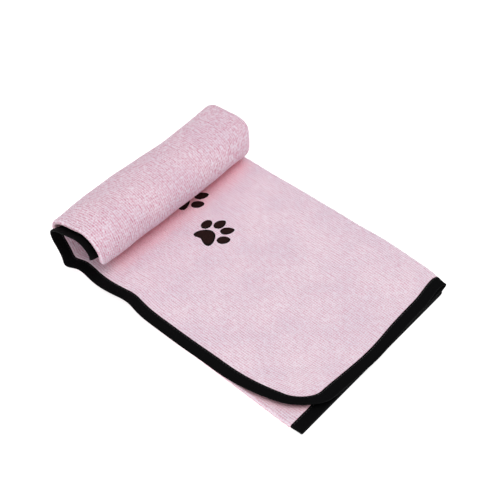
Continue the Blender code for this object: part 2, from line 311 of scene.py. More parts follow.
def stack_side_shift(x, y, height, across):
    """How far each place on the flat stack lies to the right of its place in a perfect stack."""
    top, under = edge_nearness(across)
    left, right = side_nearness(y)
    wave = 3.0 * mound(x, -68, 16) - 2.8 * mound(x, -110, 24) - 2.2 * mound(x, -30, 50)
    drawn = CORNER_DRAW * np.clip((x - 45 * MM) / (102 * MM), 0, 1) ** 2
    lobes = 6.0 - 3.5 * ramp(height, 3.5, 3) + 4.5 * mound(height, 6.0, 1.8)
    pinched = (ramp(x, 116, 30) + 0.5 * ramp(x, 136, 10)) * ramp(y, 70, 35)
    fullness = 5.7 - 4.6 * ramp(x, 60, 95)
    fold = (1.5 * ramp(x, 128, 18) + 7 * mound(x, -78, 30) - 0.7) * (across > TOP_PLY_END)
    return MM * ((wave + drawn) * top + (UNDER_SLIP + drawn) * under
                 + fold * left + fullness * right - lobes * pinched)


def roll_side_shift(along, y, across):
    """The same on the roll, whose inner end slips back out of sight at the left."""
    top, under = edge_nearness(across)
    left, right = side_nearness(y)
    slip = 35 * ramp(along, 146, 16) - 3.2
    bulge = 5.0 + 3.0 * mound(along, 112, 16) - 5.5 * ramp(along, 120, 16)
    tuck = 22 * ramp(along, 148, 30) - 0.7
    return MM * (slip * top + UNDER_SLIP * under + bulge * right + tuck * left)


def kink(along, across):
    """How far the top ply's bound edge sags out to the left, where the flat stack turns up."""
    return 4 * MM * mound(along, 2, 11) * np.clip(1 - across / (40 * MM), 0, 1) ** 2


def front_bow(x, y, across):
    """How far the top ply's front edge stands forward of the plies below."""
    bow = 3.4 * mound(y, -10, 42) - 2 * ramp(y, 70, 30)
    on_top_ply = 1 - ramp(across - TOP_PLY_END, -4, 8)
    return MM * bow * ramp(x, 70, 70) * on_top_ply


def top_lift(x, across):
    """How far the top ply's free edge lifts off the plies below."""
    corner = 3.0 * ramp(x, 55, 80)
    middle = 0.8 * mound(x, -20, 45)
    return MM * (corner + middle) * (1 - ramp(across, 0, 70))


def roll_hollow(along, y):
    """How far the roll sinks in: at its back, most towards the right, and at its left end's rim."""
    right = (1.5 + 2.5 * ramp(y, -10, 50)) * mound(along, 55, 24)
    left = 4 * (1 - ramp(y, -100, 80)) * mound(along, 75, 30)
    rim = 8.4 * (1 - ramp(y, -112, 26)) * mound(along, 101, 35)
    return MM * (right + left + rim)


def edge_press(along, across):
    """How far the top ply's bound edge is pressed onto the ply below, on the roll."""
    pressed = ramp(along, 25, 25) * (1 - ramp(along, 136, 14))
    return 2.2 * MM * pressed * (1 - ramp(across, 0, 13))


def surface_point(along, across, offset):
    """A place on the laid-out cloth, as a place on the folded and rolled towel."""
    y, height, heading = follow(FOLDS, across)
    y = y - offset * np.sin(heading)
    height = height + offset * np.cos(heading)
    flat_x = BEND - along
    rolled = ramp(along, -10, 20)
    stacked = 1 - rolled
    fuller = 0.22 * ramp(y, 55, 50) + 0.05 * ripple(flat_x, y, 95 * MM, 120 * MM) * stacked
    height = height * (1 + fuller) - edge_press(along, across)
    shift = stack_side_shift(flat_x, y, height, across) * stacked + roll_side_shift(along, y, across) * rolled
    sunk = 0.6 * MM * ripple(along, y, 60 * MM, 95 * MM) + roll_hollow(along, y + shift)
    height = height + top_lift(flat_x, across) * stacked + sunk * rolled
    x, z, turn = profile(along, -y / LEAN_SPAN)
    rise = height - MIDDLE
    return np.stack([
        x + front_bow(flat_x, y, across) + rise * np.sin(turn),
        y + shift - kink(along, across),
        z + rise * np.cos(turn),
    ], axis=-1)


# ---------------------------------------------------------------- the laid-out cloth's outline

def edge_across(along, inset):
    """Where the line that runs a given distance inside the bound edge crosses, on the first side."""
    start = CORNER_RADIUS - FLAT_LENGTH - along
    end = along - (ROLL_LENGTH - CORNER_RADIUS)
    into_corner = np.maximum(np.maximum(start, end), 0)
    radius = CORNER_RADIUS - inset
    return CORNER_RADIUS - np.sqrt(np.maximum(radius ** 2 - into_corner ** 2, 0))


def edge_distance(along, across):
    """Distance to the bound edge of a place on the laid-out cloth."""
    half = np.array([(FLAT_LENGTH + ROLL_LENGTH) / 2, CLOTH_WIDTH / 2]) - CORNER_RADIUS
    centre = (ROLL_LENGTH - FLAT_LENGTH) / 2
    dx = np.abs(along - centre) - half[0]
    dy = np.abs(across - CLOTH_WIDTH / 2) - half[1]
    outside = np.hypot(np.maximum(dx, 0), np.maximum(dy, 0))
    return CORNER_RADIUS - outside - np.minimum(np.maximum(dx, dy), 0)


# ---------------------------------------------------------------- mesh building

def new_piece(name, mesh, material):
    """Put a mesh into the scene, with its material."""
    piece = bpy.data.objects.new(name, mesh)
    bpy.context.scene.collection.objects.link(piece)
    mesh.materials.append(material)
    return piece


def mesh_of_quads(name, points, quads, uvs):
    mesh = bpy.data.meshes.new(name)
    mesh.vertices.add(len(points))
    mesh.vertices.foreach_set("co", points.astype(np.float32).ravel())
    mesh.loops.add(quads.size)
    mesh.loops.foreach_set("vertex_index", quads.astype(np.int32).ravel())
    mesh.polygons.add(len(quads))
    mesh.polygons.foreach_set("loop_start", np.arange(0, quads.size, 4, dtype=np.int32))
    mesh.update(calc_edges=True)
    layer = mesh.uv_layers.new(name="UVMap")
    layer.uv.foreach_set("vector", uvs[quads.ravel()].astype(np.float32).ravel())
    mesh.shade_smooth()
    return mesh


def surface_normals(grid):
    """Unit normals of a grid of points, from its neighbours."""
    normals = np.cross(np.gradient(grid, axis=1), np.gradient(grid, axis=0))
    return normals / np.maximum(np.linalg.norm(normals, axis=-1, keepdims=True), 1e-12)


def slab_quads(rows, columns):
    """Faces of a closed slab: two grids of points, joined round their rims."""
    over = np.arange(rows * columns).reshape(rows, columns)
    under = over + rows * columns

    def quads(a, b, c, d):
        return np.stack([a, b, c, d], axis=-1).reshape(-1, 4)

    return np.concatenate([
        quads(over[:-1, :-1], over[:-1, 1:], over[1:, 1:], over[1:, :-1]),
        quads(under[:-1, :-1], under[1:, :-1], under[1:, 1:], under[:-1, 1:]),
        quads(over[:-1, 0], over[1:, 0], under[1:, 0], under[:-1, 0]),
        quads(over[:-1, -1], under[:-1, -1], under[1:, -1], over[1:, -1]),
        quads(over[0, :-1], under[0, :-1], under[0, 1:], over[0, 1:]),
        quads(over[-1, :-1], over[-1, 1:], under[-1, 1:], under[-1, :-1]),
    ])


def slab(name, over, under, uvs, along):
    """A closed piece between two grids, and where along the towel each of its points is. Each grid has
    one spare row at each end, which only gives normals."""
    normals = surface_normals(over)[1:-1]
    below = -surface_normals(under)[1:-1]
    over, under, uvs, along = over[1:-1], under[1:-1], uvs[1:-1], along[1:-1]
    if np.sum(normals * (over - under)) < 0:
        over, under, uvs, along = over[::-1], under[::-1], uvs[::-1], along[::-1]
        normals, below = -normals[::-1], -below[::-1]
    rows, columns = over.shape[:2]
    points = np.concatenate([over.reshape(-1, 3), under.reshape(-1, 3)])
    uvs = np.concatenate([uvs.reshape(-1, 2)] * 2)
    mesh = mesh_of_quads(name, points, slab_quads(rows, columns), uvs)
    both = np.concatenate([normals.reshape(-1, 3), below.reshape(-1, 3)])
    mesh.normals_split_custom_set_from_vertices(both.tolist())
    return mesh, np.concatenate([along.ravel(), along.ravel()])


# ---------------------------------------------------------------- which bodies a patch rides on

class Patch:
    """A stretch of the towel, from one place along to another, and the bodies that it rides on."""

    def __init__(self, name, start, end, bodies):
        self.name = name
        self.start = start
        self.end = end
        self.bodies = bodies

    def carry(self, piece, along):
        """Ride on the patch's one body, or with two bodies only bake the piece's place into its mesh. Along
        is not used.
        """
        if len(self.bodies) == 1:
            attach(piece, self.bodies[0])
            return
        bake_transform(piece)


def towel_patches():
    """The flat patch, one patch across each hinge, and the last one up inside the roll."""
    cuts = [-BEND_RUN] + list(MIDS)
    patches = [Patch("flat", -FLAT_LENGTH, cuts[0], ["root"])]
    before = "root"
    for number, (start, end) in enumerate(zip(cuts, cuts[1:]), 1):
        body = f"roll_{number:02d}"
        patches.append(Patch(f"roll_{number:02d}", start, end, [before, body]))
        before = body
    patches.append(Patch("roll_end", cuts[-1], ROLL_LENGTH, [before]))
    return patches


# ---------------------------------------------------------------- node helpers

def plug(tree, socket, value):
    """Give a node's input a value or another node's output."""
    if isinstance(value, bpy.types.NodeSocket):
        tree.links.new(value, socket)
    else:
        socket.default_value = value


def node(tree, kind, inputs=None, **settings):
    """Add a shader node, with its inputs by name or number."""
    made = tree.nodes.new(kind)
    for name, value in settings.items():
        setattr(made, name, value)
    for key, value in (inputs or {}).items():
        plug(tree, made.inputs[key], value)
    return made


def maths(tree, operation, a, b=0.0, c=0.0, clamp=False):
    made = node(tree, "ShaderNodeMath", {0: a, 1: b, 2: c}, operation=operation, use_clamp=clamp)
    return made.outputs[0]


def mix_colour(tree, share, a, b):
    made = node(tree, "ShaderNodeMix", data_type="RGBA")
    for key, value in (("Factor", share), ("A", a), ("B", b)):
        plug(tree, next(s for s in made.inputs if s.name == key and s.enabled), value)
    return next(s for s in made.outputs if s.enabled)


def stretched(tree, vector, scale):
    return node(tree, "ShaderNodeMapping", {"Vector": vector, "Scale": scale}).outputs[0]


def noise(tree, vector, grain, detail=2.0, roughness=0.5):
    """Noise with its own fineness in each direction."""
    made = node(tree, "ShaderNodeTexNoise", {"Vector": stretched(tree, vector, grain), "Scale": 1.0,
                                             "Detail": detail, "Roughness": roughness})
    return made.outputs["Fac"]


def spread(tree, value, low, high):
    """Value taken from the range low to high onto 0 to 1."""
    made = node(tree, "ShaderNodeMapRange", {"Value": value, "From Min": low, "From Max": high})
    return made.outputs[0]


def new_material(name):
    """A material, its node tree and the output of its UV coordinates."""
    material = bpy.data.materials.new(name)
    material.use_nodes = True
    tree = material.node_tree
    return material, tree, node(tree, "ShaderNodeUVMap", uv_map="UVMap").outputs[0]


def finish_material(tree, relief, strength, depth, inputs):
    """Raise a material's relief to a depth, and set the rest of its shader's inputs."""
    shader = tree.nodes["Principled BSDF"]
    bump = node(tree, "ShaderNodeBump", {"Height": relief, "Strength": strength, "Distance": depth})
    plug(tree, shader.inputs["Normal"], bump.outputs[0])
    for name, value in inputs.items():
        plug(tree, shader.inputs[name], value)


# ---------------------------------------------------------------- materials
# UV coordinates are in centimetres on the laid-out cloth, or along and round the tape and thread.

UV_UNIT = 10 * MM
PALE_PINK = (0.96, 0.835, 0.92, 1)
COOL_PINK = (0.885, 0.77, 0.87, 1)
# Painted shade: a deeper pink in the grooves between ribs and between loops
GROOVE_SHADE_PINK = (0.66, 0.25, 0.37, 1)
SHADE_PINK = (1.00, 0.54, 0.61, 1)
SHEEN_WHITE = (0.95, 0.95, 0.97, 1)
TAPE_BLACK = (0.0015, 0.0015, 0.0018, 1)
TAPE_CROWN_HIGHLIGHT = (0.006, 0.006, 0.0065, 1)
THREAD_BLACK = (0.010, 0.010, 0.011, 1)
THREAD_RIDGE_HIGHLIGHT = (0.03, 0.03, 0.032, 1)
STITCH_BROWN = (0.030, 0.0095, 0.008, 1)
STITCH_CREST = (0.075, 0.030, 0.026, 1)
STITCH_BLACK = (0.004, 0.003, 0.003, 1)

# Grains: about how many grains of noise a centimetre holds, across the cloth and along it
RIB_WANDER_GRAIN = (2.6, 1.0, 1)
LOOP_GRAIN = (10, 6.5, 1)
TUFT_GRAIN = (5.5, 4.5, 1)
GROOVE_SHADE_STREAK_GRAIN = (5.0, 1.6, 1)
MOTTLE_GRAIN = (0.25, 0.25, 1)
TAPE_FUZZ_GRAIN = (30, 8, 1)
FLECK_GRAIN = (14, 14, 14)
TAPE_THREADS = 22                 # half waves of the tape's weave in a centimetre
TWIST_SCALE = 12                  # of a wave texture: about 19 ridges in a centimetre of thread
SATIN_SCALE = 3.2                 # of a wave texture: about ten embroidery threads in a centimetre
SHELTER = 22 * MM                 # how far away a neighbour still adds painted crease shade and bounce light to the cloth


def terry_pattern(tree, uv):
    """Loops from low to high, grooves from rib to gap, and the share of painted shade, a deeper pink, in the
    grooves and between the loops at each place.
    """
    place = node(tree, "ShaderNodeSeparateXYZ", {0: uv}).outputs
    across, along = place["X"], place["Y"]
    outside = spread(tree, across, (TOP_PLY_END - 10 * MM) / UV_UNIT, (TOP_PLY_END + 5 * MM) / UV_UNIT)
    opened = maths(tree, "MULTIPLY", spread(tree, along, -1.0, 1.5), outside)

    wander = maths(tree, "MULTIPLY", noise(tree, uv, RIB_WANDER_GRAIN), 0.15)
    phase = maths(tree, "MULTIPLY", maths(tree, "ADD", across, wander), 2 * math.pi * UV_UNIT / RIB_PITCH)
    groove = maths(tree, "MULTIPLY_ADD", maths(tree, "COSINE", phase), -0.5, 0.5)
    groove = maths(tree, "POWER", groove, 1.5)
    # Painted shade in the grooves between ribs, stronger in long streaks and where the loops open up on the
    # roll
    groove_shade_streaks = spread(tree, noise(tree, uv, GROOVE_SHADE_STREAK_GRAIN, 1.0), 0.28, 0.60)
    strength = maths(tree, "MULTIPLY", groove_shade_streaks, maths(tree, "MULTIPLY_ADD", opened, 0.2, 1.7))
    depth = maths(tree, "MULTIPLY", groove, maths(tree, "MULTIPLY", strength, 0.31))

    loops = noise(tree, uv, LOOP_GRAIN, 2.0, 0.7)
    row = maths(tree, "MULTIPLY", along, 2 * math.pi * UV_UNIT / BEAD_PITCH)
    row = maths(tree, "ADD", row, maths(tree, "MULTIPLY", loops, 9.0))
    beads = maths(tree, "MULTIPLY_ADD", maths(tree, "SINE", row), 0.07, loops)
    # Painted shade in the gaps between loops and, on the roll, between tufts
    loop_gap_shade = maths(tree, "MULTIPLY", spread(tree, beads, 0.53, 0.38), 0.34)
    tuft_gap_shade = spread(tree, noise(tree, uv, TUFT_GRAIN, 1.0), 0.53, 0.36)
    tuft_gap_shade = maths(tree, "MULTIPLY", tuft_gap_shade, maths(tree, "MULTIPLY", opened, 0.33))
    gap_shade = maths(tree, "ADD", loop_gap_shade, tuft_gap_shade)
    return loops, groove, maths(tree, "ADD", gap_shade, depth, clamp=True)


def terry_material():
    """Ribbed microfibre terry: pale loops on top of each rib, a deeper pink painted as shade between the ribs
    and between the loops that open up on the roll, and salmon pink painted as shade and bounce light where
    the cloth lies close to more cloth."""
    material, tree, uv = new_material("Pink terry")
    loops, groove, groove_and_gap_shade = terry_pattern(tree, uv)
    mottle = spread(tree, noise(tree, uv, MOTTLE_GRAIN), 0.35, 0.65)
    colour = mix_colour(tree, groove_and_gap_shade, mix_colour(tree, mottle, PALE_PINK, COOL_PINK), GROOVE_SHADE_PINK)
    # Painted shade and bounce light: salmon pink where other cloth lies close, found by ambient occlusion
    open_air = node(tree, "ShaderNodeAmbientOcclusion", {"Distance": SHELTER}, samples=8).outputs["AO"]
    painted_crease_shade = maths(tree, "MULTIPLY", spread(tree, open_air, 0.85, 0.25), 0.8)
    relief = maths(tree, "SUBTRACT", loops, maths(tree, "MULTIPLY", groove, 0.3))
    finish_material(tree, relief, 0.9, 0.7 * MM, {
        "Base Color": mix_colour(tree, painted_crease_shade, colour, SHADE_PINK),
        "Roughness": maths(tree, "MULTIPLY_ADD", loops, 0.15, 0.8),
        "Specular IOR Level": 0.15,
        "Sheen Weight": 0.45,
        "Sheen Roughness": 0.4,
        "Sheen Tint": SHEEN_WHITE,
    })
    return material


def tape_material():
    """Black woven tape: a fine plain weave, slightly shiny on its crowns through a painted grey highlight."""
    material, tree, uv = new_material("Black binding tape")
    fine = stretched(tree, uv, (TAPE_THREADS, TAPE_THREADS, 1))
    parts = node(tree, "ShaderNodeSeparateXYZ", {0: fine}).outputs
    warp = maths(tree, "SINE", maths(tree, "MULTIPLY", parts["X"], math.pi))
    weft = maths(tree, "SINE", maths(tree, "MULTIPLY", parts["Y"], math.pi))
    crown = spread(tree, maths(tree, "MULTIPLY", warp, weft), -1.0, 1.0)
    fuzz = noise(tree, uv, TAPE_FUZZ_GRAIN, 3.0)
    # Painted highlight: the weave's crowns get a lighter grey
    light = maths(tree, "MULTIPLY", crown, fuzz)
    relief = maths(tree, "ADD", crown, maths(tree, "MULTIPLY", fuzz, 0.6))
    finish_material(tree, relief, 0.35, 0.12 * MM, {
        "Base Color": mix_colour(tree, light, TAPE_BLACK, TAPE_CROWN_HIGHLIGHT),
        "Roughness": maths(tree, "MULTIPLY_ADD", fuzz, 0.2, 0.55),
        "Specular IOR Level": 0.04,
    })
    return material


def thread_material():
    """Slightly shiny black thread, with its twist as slanted ridges, painted a lighter grey on the ridges as
    a highlight.
    """
    material, tree, uv = new_material("Black thread")
    twist = node(tree, "ShaderNodeTexWave", {"Vector": uv, "Scale": TWIST_SCALE, "Distortion": 1.0},
                 bands_direction="DIAGONAL").outputs["Fac"]
    # Painted highlight: lighter grey on the twist's ridges
    finish_material(tree, twist, 0.4, 0.08 * MM, {
        "Base Color": mix_colour(tree, twist, THREAD_BLACK, THREAD_RIDGE_HIGHLIGHT),
        "Roughness": 0.42,
        "Sheen Weight": 0.1,
    })
    return material


def embroidery_material():
    """Satin stitch: dark brown threads side by side with painted shade in black between them, and a blacker
    stitched border.
    """
    material, tree, uv = new_material("Brown embroidery")
    wave = {"Vector": uv, "Scale": SATIN_SCALE, "Distortion": 1.6, "Detail": 2.0, "Detail Scale": 2.0}
    threads = node(tree, "ShaderNodeTexWave", wave, bands_direction="X").outputs["Fac"]
    border = node(tree, "ShaderNodeAttribute", attribute_name="border").outputs["Fac"]
    flecks = spread(tree, noise(tree, uv, FLECK_GRAIN), 0.5, 0.8)
    brown = mix_colour(tree, flecks, STITCH_BROWN, STITCH_CREST)
    # Painted shade: black between the satin threads, brown on them
    lit = mix_colour(tree, threads, STITCH_BLACK, brown)
    finish_material(tree, threads, 0.5, 0.15 * MM, {
        "Base Color": mix_colour(tree, border, lit, STITCH_BLACK),
        "Roughness": maths(tree, "MULTIPLY_ADD", flecks, -0.15, 0.6),
        "Specular IOR Level": 0.07,
    })
    return material


# ---------------------------------------------------------------- terry

def cloth_columns(ribbed):
    """Places across the cloth: close together where ribs are modelled, and wide apart elsewhere."""
    columns = [CLOTH_INSET]
    while columns[-1] < CLOTH_WIDTH - CLOTH_INSET:
        here = columns[-1]
        fine = any(start <= here < end for start, end in ribbed)
        curled = any(FOLDS[k, 0] - MM < here < FOLDS[k + 1, 0] + MM for k in (1, 3, 5))
        if fine or curled:
            step = RIB_STEP
        elif CLOTH_WIDTH - here < 20 * MM:
            step = 1 * MM
        else:
            step = PLAIN_STEP
        columns.append(here + step)
    columns[-1] = CLOTH_WIDTH - CLOTH_INSET
    return np.array(columns)


def in_corner(along, across):
    """Columns drawn in towards the middle where the corners are rounded, over the first 60 mm."""
    squeeze = 60 * MM
    edge = edge_across(along, CLOTH_INSET) - CLOTH_INSET
    other = CLOTH_WIDTH - across
    first = edge * np.clip(1 - (across - CLOTH_INSET) / squeeze, 0, 1)
    second = edge * np.clip(1 - (other - CLOTH_INSET) / squeeze, 0, 1)
    return across + first - second


def rib_relief(along, across, ribbed):
    """Height of the ribs, which wander and fade here and there, and of the loops that make them up."""
    modelled = np.zeros_like(across)
    for start, end in ribbed:
        inside = np.minimum(across - start, end - across)
        modelled = np.maximum(modelled, np.clip(inside / (2 * MM), 0, 1))
    wander = RIB_WANDER * ripple(along, across, 31 * MM, 17 * MM)
    phase = 2 * math.pi * (across + wander) / RIB_PITCH
    strength = 0.6 + 0.4 * ripple(along, across, 13 * MM, 7 * MM)
    loops = np.sin(along * 2 * math.pi / LOOP_PITCH + 2.0 * np.sin(phase / 2 + along / (7 * MM)))
    return modelled * (RIB_HEIGHT * strength * np.cos(phase) + LOOP_HEIGHT * loops)


def terry_half(along, across):
    """Half the cloth's thickness: squeezed in the binding, with puckers along the seam."""
    distance = edge_distance(along, across)
    out = smooth((distance - TAPE_WIDTH + 0.6 * MM) / (2.2 * MM))
    path = along + across
    decay = out * hill((distance - TAPE_WIDTH) / (9 * MM))
    wave = np.sin(2 * math.pi * path / PUCKER_PITCH + 1.5 * np.sin(path / (2 * PUCKER_PITCH)))
    return SQUEEZED + (PLY / 2 - SQUEEZED) * out + PUCKER_HEIGHT * decay * wave, out


def terry_patch(patch, material):
    """The cloth of one patch, with ribs modelled on the faces that show: the top of the stack and its
    folded sides, and the underside where it turns to the roll's outside."""
    if patch.name == "flat":
        ribbed = ((0, TOP_PLY_END + 16 * MM), (LEFT_FOLD_START - 6 * MM, LEFT_FOLD_END + 3 * MM))
        step = FLAT_STEP
    else:
        ribbed = ((UNDERSIDE_START - 14 * MM, LEFT_FOLD_END + 2 * MM),)
        step = ROLL_STEP
    start = max(patch.start, -FLAT_LENGTH + CLOTH_INSET)
    end = min(patch.end, ROLL_LENGTH - CLOTH_INSET)
    rows = np.linspace(start, end, max(2, round((end - start) / step)) + 1)
    if patch.name == "flat":
        close = np.arange(start, start + FRONT_ZONE, CURL_STEP)
        rows = np.concatenate([close, rows[rows > close[-1] + step / 2]])
    rows = np.concatenate([[rows[0] - SPARE], rows, [rows[-1] + SPARE]])
    along, across = np.meshgrid(rows, cloth_columns(ribbed), indexing="ij")
    across = in_corner(along, across)
    half, out = terry_half(along, across)
    relief = rib_relief(along, across, ribbed) * out
    over = surface_point(along, across, half + relief)
    under = surface_point(along, across, -half)
    uvs = np.stack([across, along], axis=-1) / UV_UNIT
    mesh, places = slab("terry_" + patch.name, over, under, uvs, along)
    piece = new_piece("terry_" + patch.name, mesh, material)
    patch.carry(piece, places)
    return piece


# ---------------------------------------------------------------- binding

def tape_section():
    """The folded tape's outer and inner lines, as distances from the bound edge and offsets."""
    legs = np.array([1, 0.97, 0.75, 0.5, 0.25]) * TAPE_WIDTH
    bends = np.linspace(0, math.pi, 9)
    lines = []
    for half, lip in ((TAPE_HALF, TAPE_LIP), (TAPE_HALF - TAPE, 0)):
        drop = np.array([lip, 0, 0, 0, 0])
        inset = np.concatenate([legs, TAPE_HALF - half * np.sin(bends), legs[::-1]])
        offset = np.concatenate([half - drop, half * np.cos(bends), drop[::-1] - half])
        lines.append((inset, offset))
    return lines


def with_curls(stations, folds):
    """Stations along the tape, with close ones added where it turns round each fold."""
    extra = [start + np.arange(-CURL_BEFORE, CURL_AFTER, CURL_STEP) for start in folds]
    return np.unique(np.concatenate([stations] + extra))


def tape_piece(name, patch, place, stations, material):
    """A stretch of tape. Place gives along and across for a station and a distance from the edge."""
    grids = []
    for inset, offset in tape_section():
        along, across = place(stations[:, None], inset[None, :])
        grids.append(surface_point(along, across, offset[None, :] + 0 * along))
    girth = np.concatenate([[0], np.cumsum(np.hypot(np.diff(inset), np.diff(offset)))])
    u, v = np.broadcast_arrays(stations[:, None], girth[None, :])
    mesh, places = slab(name, *grids, np.stack([u, v], axis=-1) / UV_UNIT, along)
    piece = new_piece(name, mesh, material)
    patch.carry(piece, places)
    return piece


def flat_tape(patch, material):
    """The tape round the front end, from the top ply's roll end to the under ply's."""
    straight = patch.end + FLAT_LENGTH - CORNER_RADIUS
    plan = (
        (straight, 0),
        (math.pi / 2 * CORNER_RADIUS, -1 / CORNER_RADIUS),
        (CLOTH_WIDTH - 2 * CORNER_RADIUS, 0),
        (math.pi / 2 * CORNER_RADIUS, -1 / CORNER_RADIUS),
        (straight, 0),
    )
    table, length = route(patch.end, 0, math.pi, plan)

    def place(distance, inset):
        along, across, heading = follow(table, distance)
        return along + inset * np.sin(heading), across - inset * np.cos(heading)

    folds = FOLDS[1:, 0] + straight + (math.pi / 2 - 1) * CORNER_RADIUS
    stations = with_curls(np.linspace(0, length, round(length / TAPE_STEP)), folds)
    stations = np.concatenate([[stations[0] - 2 * SPARE], stations, [stations[-1] + 2 * SPARE]])
    return tape_piece("binding_flat", patch, place, stations, material)


def side_tape(patch, side, material):
    """One bound side of a roll patch, as far as the strip across the cloth's inner end."""
    def place(along, inset):
        across = edge_across(along, inset)
        if side == "under":
            across = CLOTH_WIDTH - across
        return along + 0 * inset, across

    end = min(patch.end, ROLL_LENGTH - TAPE_WIDTH)
    stations = np.linspace(patch.start, end, max(2, round((end - patch.start) / ROLL_STEP)))
    stations = np.concatenate([[stations[0] - SPARE], stations, [stations[-1] + SPARE / 5]])
    return tape_piece(f"binding_{side}_{patch.name}", patch, place, stations, material)


def inner_end_tape(patch, material):
    """The strip of tape across the cloth's inner end, up inside the roll."""
    limit = ROLL_LENGTH - TAPE_WIDTH

    def place(across, inset):
        edge = np.minimum(across, CLOTH_WIDTH - across)
        into_corner = np.maximum(CORNER_RADIUS - edge, 0)
        radius = CORNER_RADIUS - inset
        reach = np.sqrt(np.maximum(radius ** 2 - into_corner ** 2, 0))
        return np.maximum(ROLL_LENGTH - CORNER_RADIUS + reach, limit), across + 0 * inset

    margin = edge_across(np.array([limit]), 0.0)[0] + 0.05 * MM
    sweep = np.linspace(margin, CLOTH_WIDTH - margin, round(CLOTH_WIDTH / TAPE_STEP))
    stations = with_curls(sweep, FOLDS[1:, 0])
    stations = np.concatenate([[stations[0] - SPARE / 50], stations, [stations[-1] + SPARE / 50]])
    return tape_piece("binding_inner_end", patch, place, stations, material)


# ---------------------------------------------------------------- lockstitches

def seam_places():
    """Where the stitches go: a line round the whole cloth, just inside the tape's edge."""
    radius = CORNER_RADIUS - SEAM_INSET
    corner = (math.pi / 2 * radius, -1 / radius)
    end = (CLOTH_WIDTH - 2 * CORNER_RADIUS, 0)
    plan = (
        (FLAT_LENGTH - CORNER_RADIUS, 0), corner, end, corner,
        (FLAT_LENGTH + ROLL_LENGTH - 2 * CORNER_RADIUS, 0), corner, end, corner,
        (ROLL_LENGTH - CORNER_RADIUS, 0),
    )
    table, length = route(0, SEAM_INSET, math.pi, plan)
    return follow(table, np.arange(0, length, STITCH_PITCH))


def stitch_shape():
    """Points of one stitch, as distances along, beside and over its own line, and its faces."""
    turns = np.arange(STITCH_SIDES) * 2 * math.pi / STITCH_SIDES
    lengths = np.array([-0.5, -0.42, 0, 0.42, 0.5]) * STITCH_LENGTH
    radii = np.array([0.2, 0.8, 1, 0.8, 0.2]) * STITCH_RADIUS
    sink = np.array([0.9, 0.35, 0, 0.35, 0.9]) * STITCH_RADIUS
    along = np.repeat(lengths, len(turns))
    beside = np.outer(radii, np.cos(turns)).ravel()
    over = (np.outer(radii, np.sin(turns)) - sink[:, None]).ravel()
    faces = []
    for ring in range(len(lengths) - 1):
        for turn in range(STITCH_SIDES):
            a = ring * STITCH_SIDES + turn
            b = ring * STITCH_SIDES + (turn + 1) % STITCH_SIDES
            faces.append((a, b, b + STITCH_SIDES, a + STITCH_SIDES))
    last = STITCH_SIDES * (len(lengths) - 1)
    faces += [(3, 2, 1, 0), (5, 4, 3, 0)]
    faces += [(last, last + 1, last + 2, last + 3), (last, last + 3, last + 4, last + 5)]
    return along, beside, over, np.array(faces)


def stitches(patch, seam, material):
    """The stitches whose middles lie on a patch, on both faces of the binding."""
    centre_along, centre_across, heading = seam
    inside = (centre_along >= patch.start) & (centre_along < patch.end)
    forward, beside, over, faces = stitch_shape()
    along = centre_along[inside, None]
    across = centre_across[inside, None]
    heading = heading[inside, None]
    grids = []
    for side in (1, -1):
        s = along + forward * np.cos(heading) - side * beside * np.sin(heading)
        v = across + forward * np.sin(heading) + side * beside * np.cos(heading)
        grids.append((s, v, side * (TAPE_HALF + over) + 0 * s))
    s, v, offset = (np.concatenate(part) for part in zip(*grids))
    points = surface_point(s, v, offset).reshape(-1, 3)
    count = len(s)
    quads = (faces[None] + (np.arange(count) * len(forward))[:, None, None]).reshape(-1, 4)
    uvs = np.stack([np.tile(forward, count), np.tile(beside, count)], axis=-1) / UV_UNIT
    name = "stitches_" + patch.name
    piece = new_piece(name, mesh_of_quads(name, points, quads, uvs), material)
    patch.carry(piece, s)
    return piece


# ---------------------------------------------------------------- paw prints

# Each toe's long axis in degrees from +X, its length and width, and how pointed its outer end is.
TOES = (
    (96, 14.2 * MM, 10.6 * MM, 0.10),
    (86, 15.4 * MM, 10.6 * MM, 0.35),
    (58, 15.4 * MM, 10.4 * MM, 0.35),
    (54, 14.2 * MM, 10.6 * MM, 0.15),
)
# The pad's outline, in mm from its middle
PAD = ((-12.8, -5.4), (-12.6, -0.4), (-10.4, 4.2), (-6.6, 8.2), (-2.0, 10.5), (3.2, 9.6), (7.0, 6.2),
       (9.8, 1.6), (11.4, -3.4), (10.6, -7.4), (7.0, -9.0), (2.0, -7.6), (-3.4, -5.4), (-9.0, -7.0))
STITCHED_HEIGHT = 0.55 * MM
STITCHED_DEPTH = 0.4 * MM         # how far a stitched shape's rim goes into the terry
BORDER_HEIGHT = 0.08 * MM
RIDGE_PITCH = 0.9 * MM
RIDGE_HEIGHT = 0.06 * MM
RAGGED = 0.022                    # of the shape's own size
AROUND = 160                      # points round a stitched shape
RINGS = 14                        # rings of points from its middle to its rim


def toe_outline(toe, turn):
    """Points round a toe: an ellipse whose outer end narrows to a point."""
    axis, length, width, pointed = toe
    forward = -length / 2 * np.cos(turn)
    narrow = np.abs(np.cos(turn / 2)) ** pointed
    beside = width / 2 * np.sin(turn) * narrow / (1 - 0.23 * pointed)
    tilt = math.radians(axis)
    x = forward * math.cos(tilt) - beside * math.sin(tilt)
    y = forward * math.sin(tilt) + beside * math.cos(tilt)
    return np.stack([x, y], axis=-1)


def pad_outline(turn):
    """Points round the pad: a closed curve through its corner points."""
    knots = np.array(PAD) * MM
    place = turn / (2 * math.pi) * len(knots)
    index = np.floor(place).astype(int)
    t = (place - index)[:, None]
    a, b, c, d = (knots[(index + k) % len(knots)] for k in (-1, 0, 1, 2))
    return b + 0.5 * t * (c - a + t * (2 * a - 5 * b + 4 * c - d + t * (3 * (b - c) + d - a)))


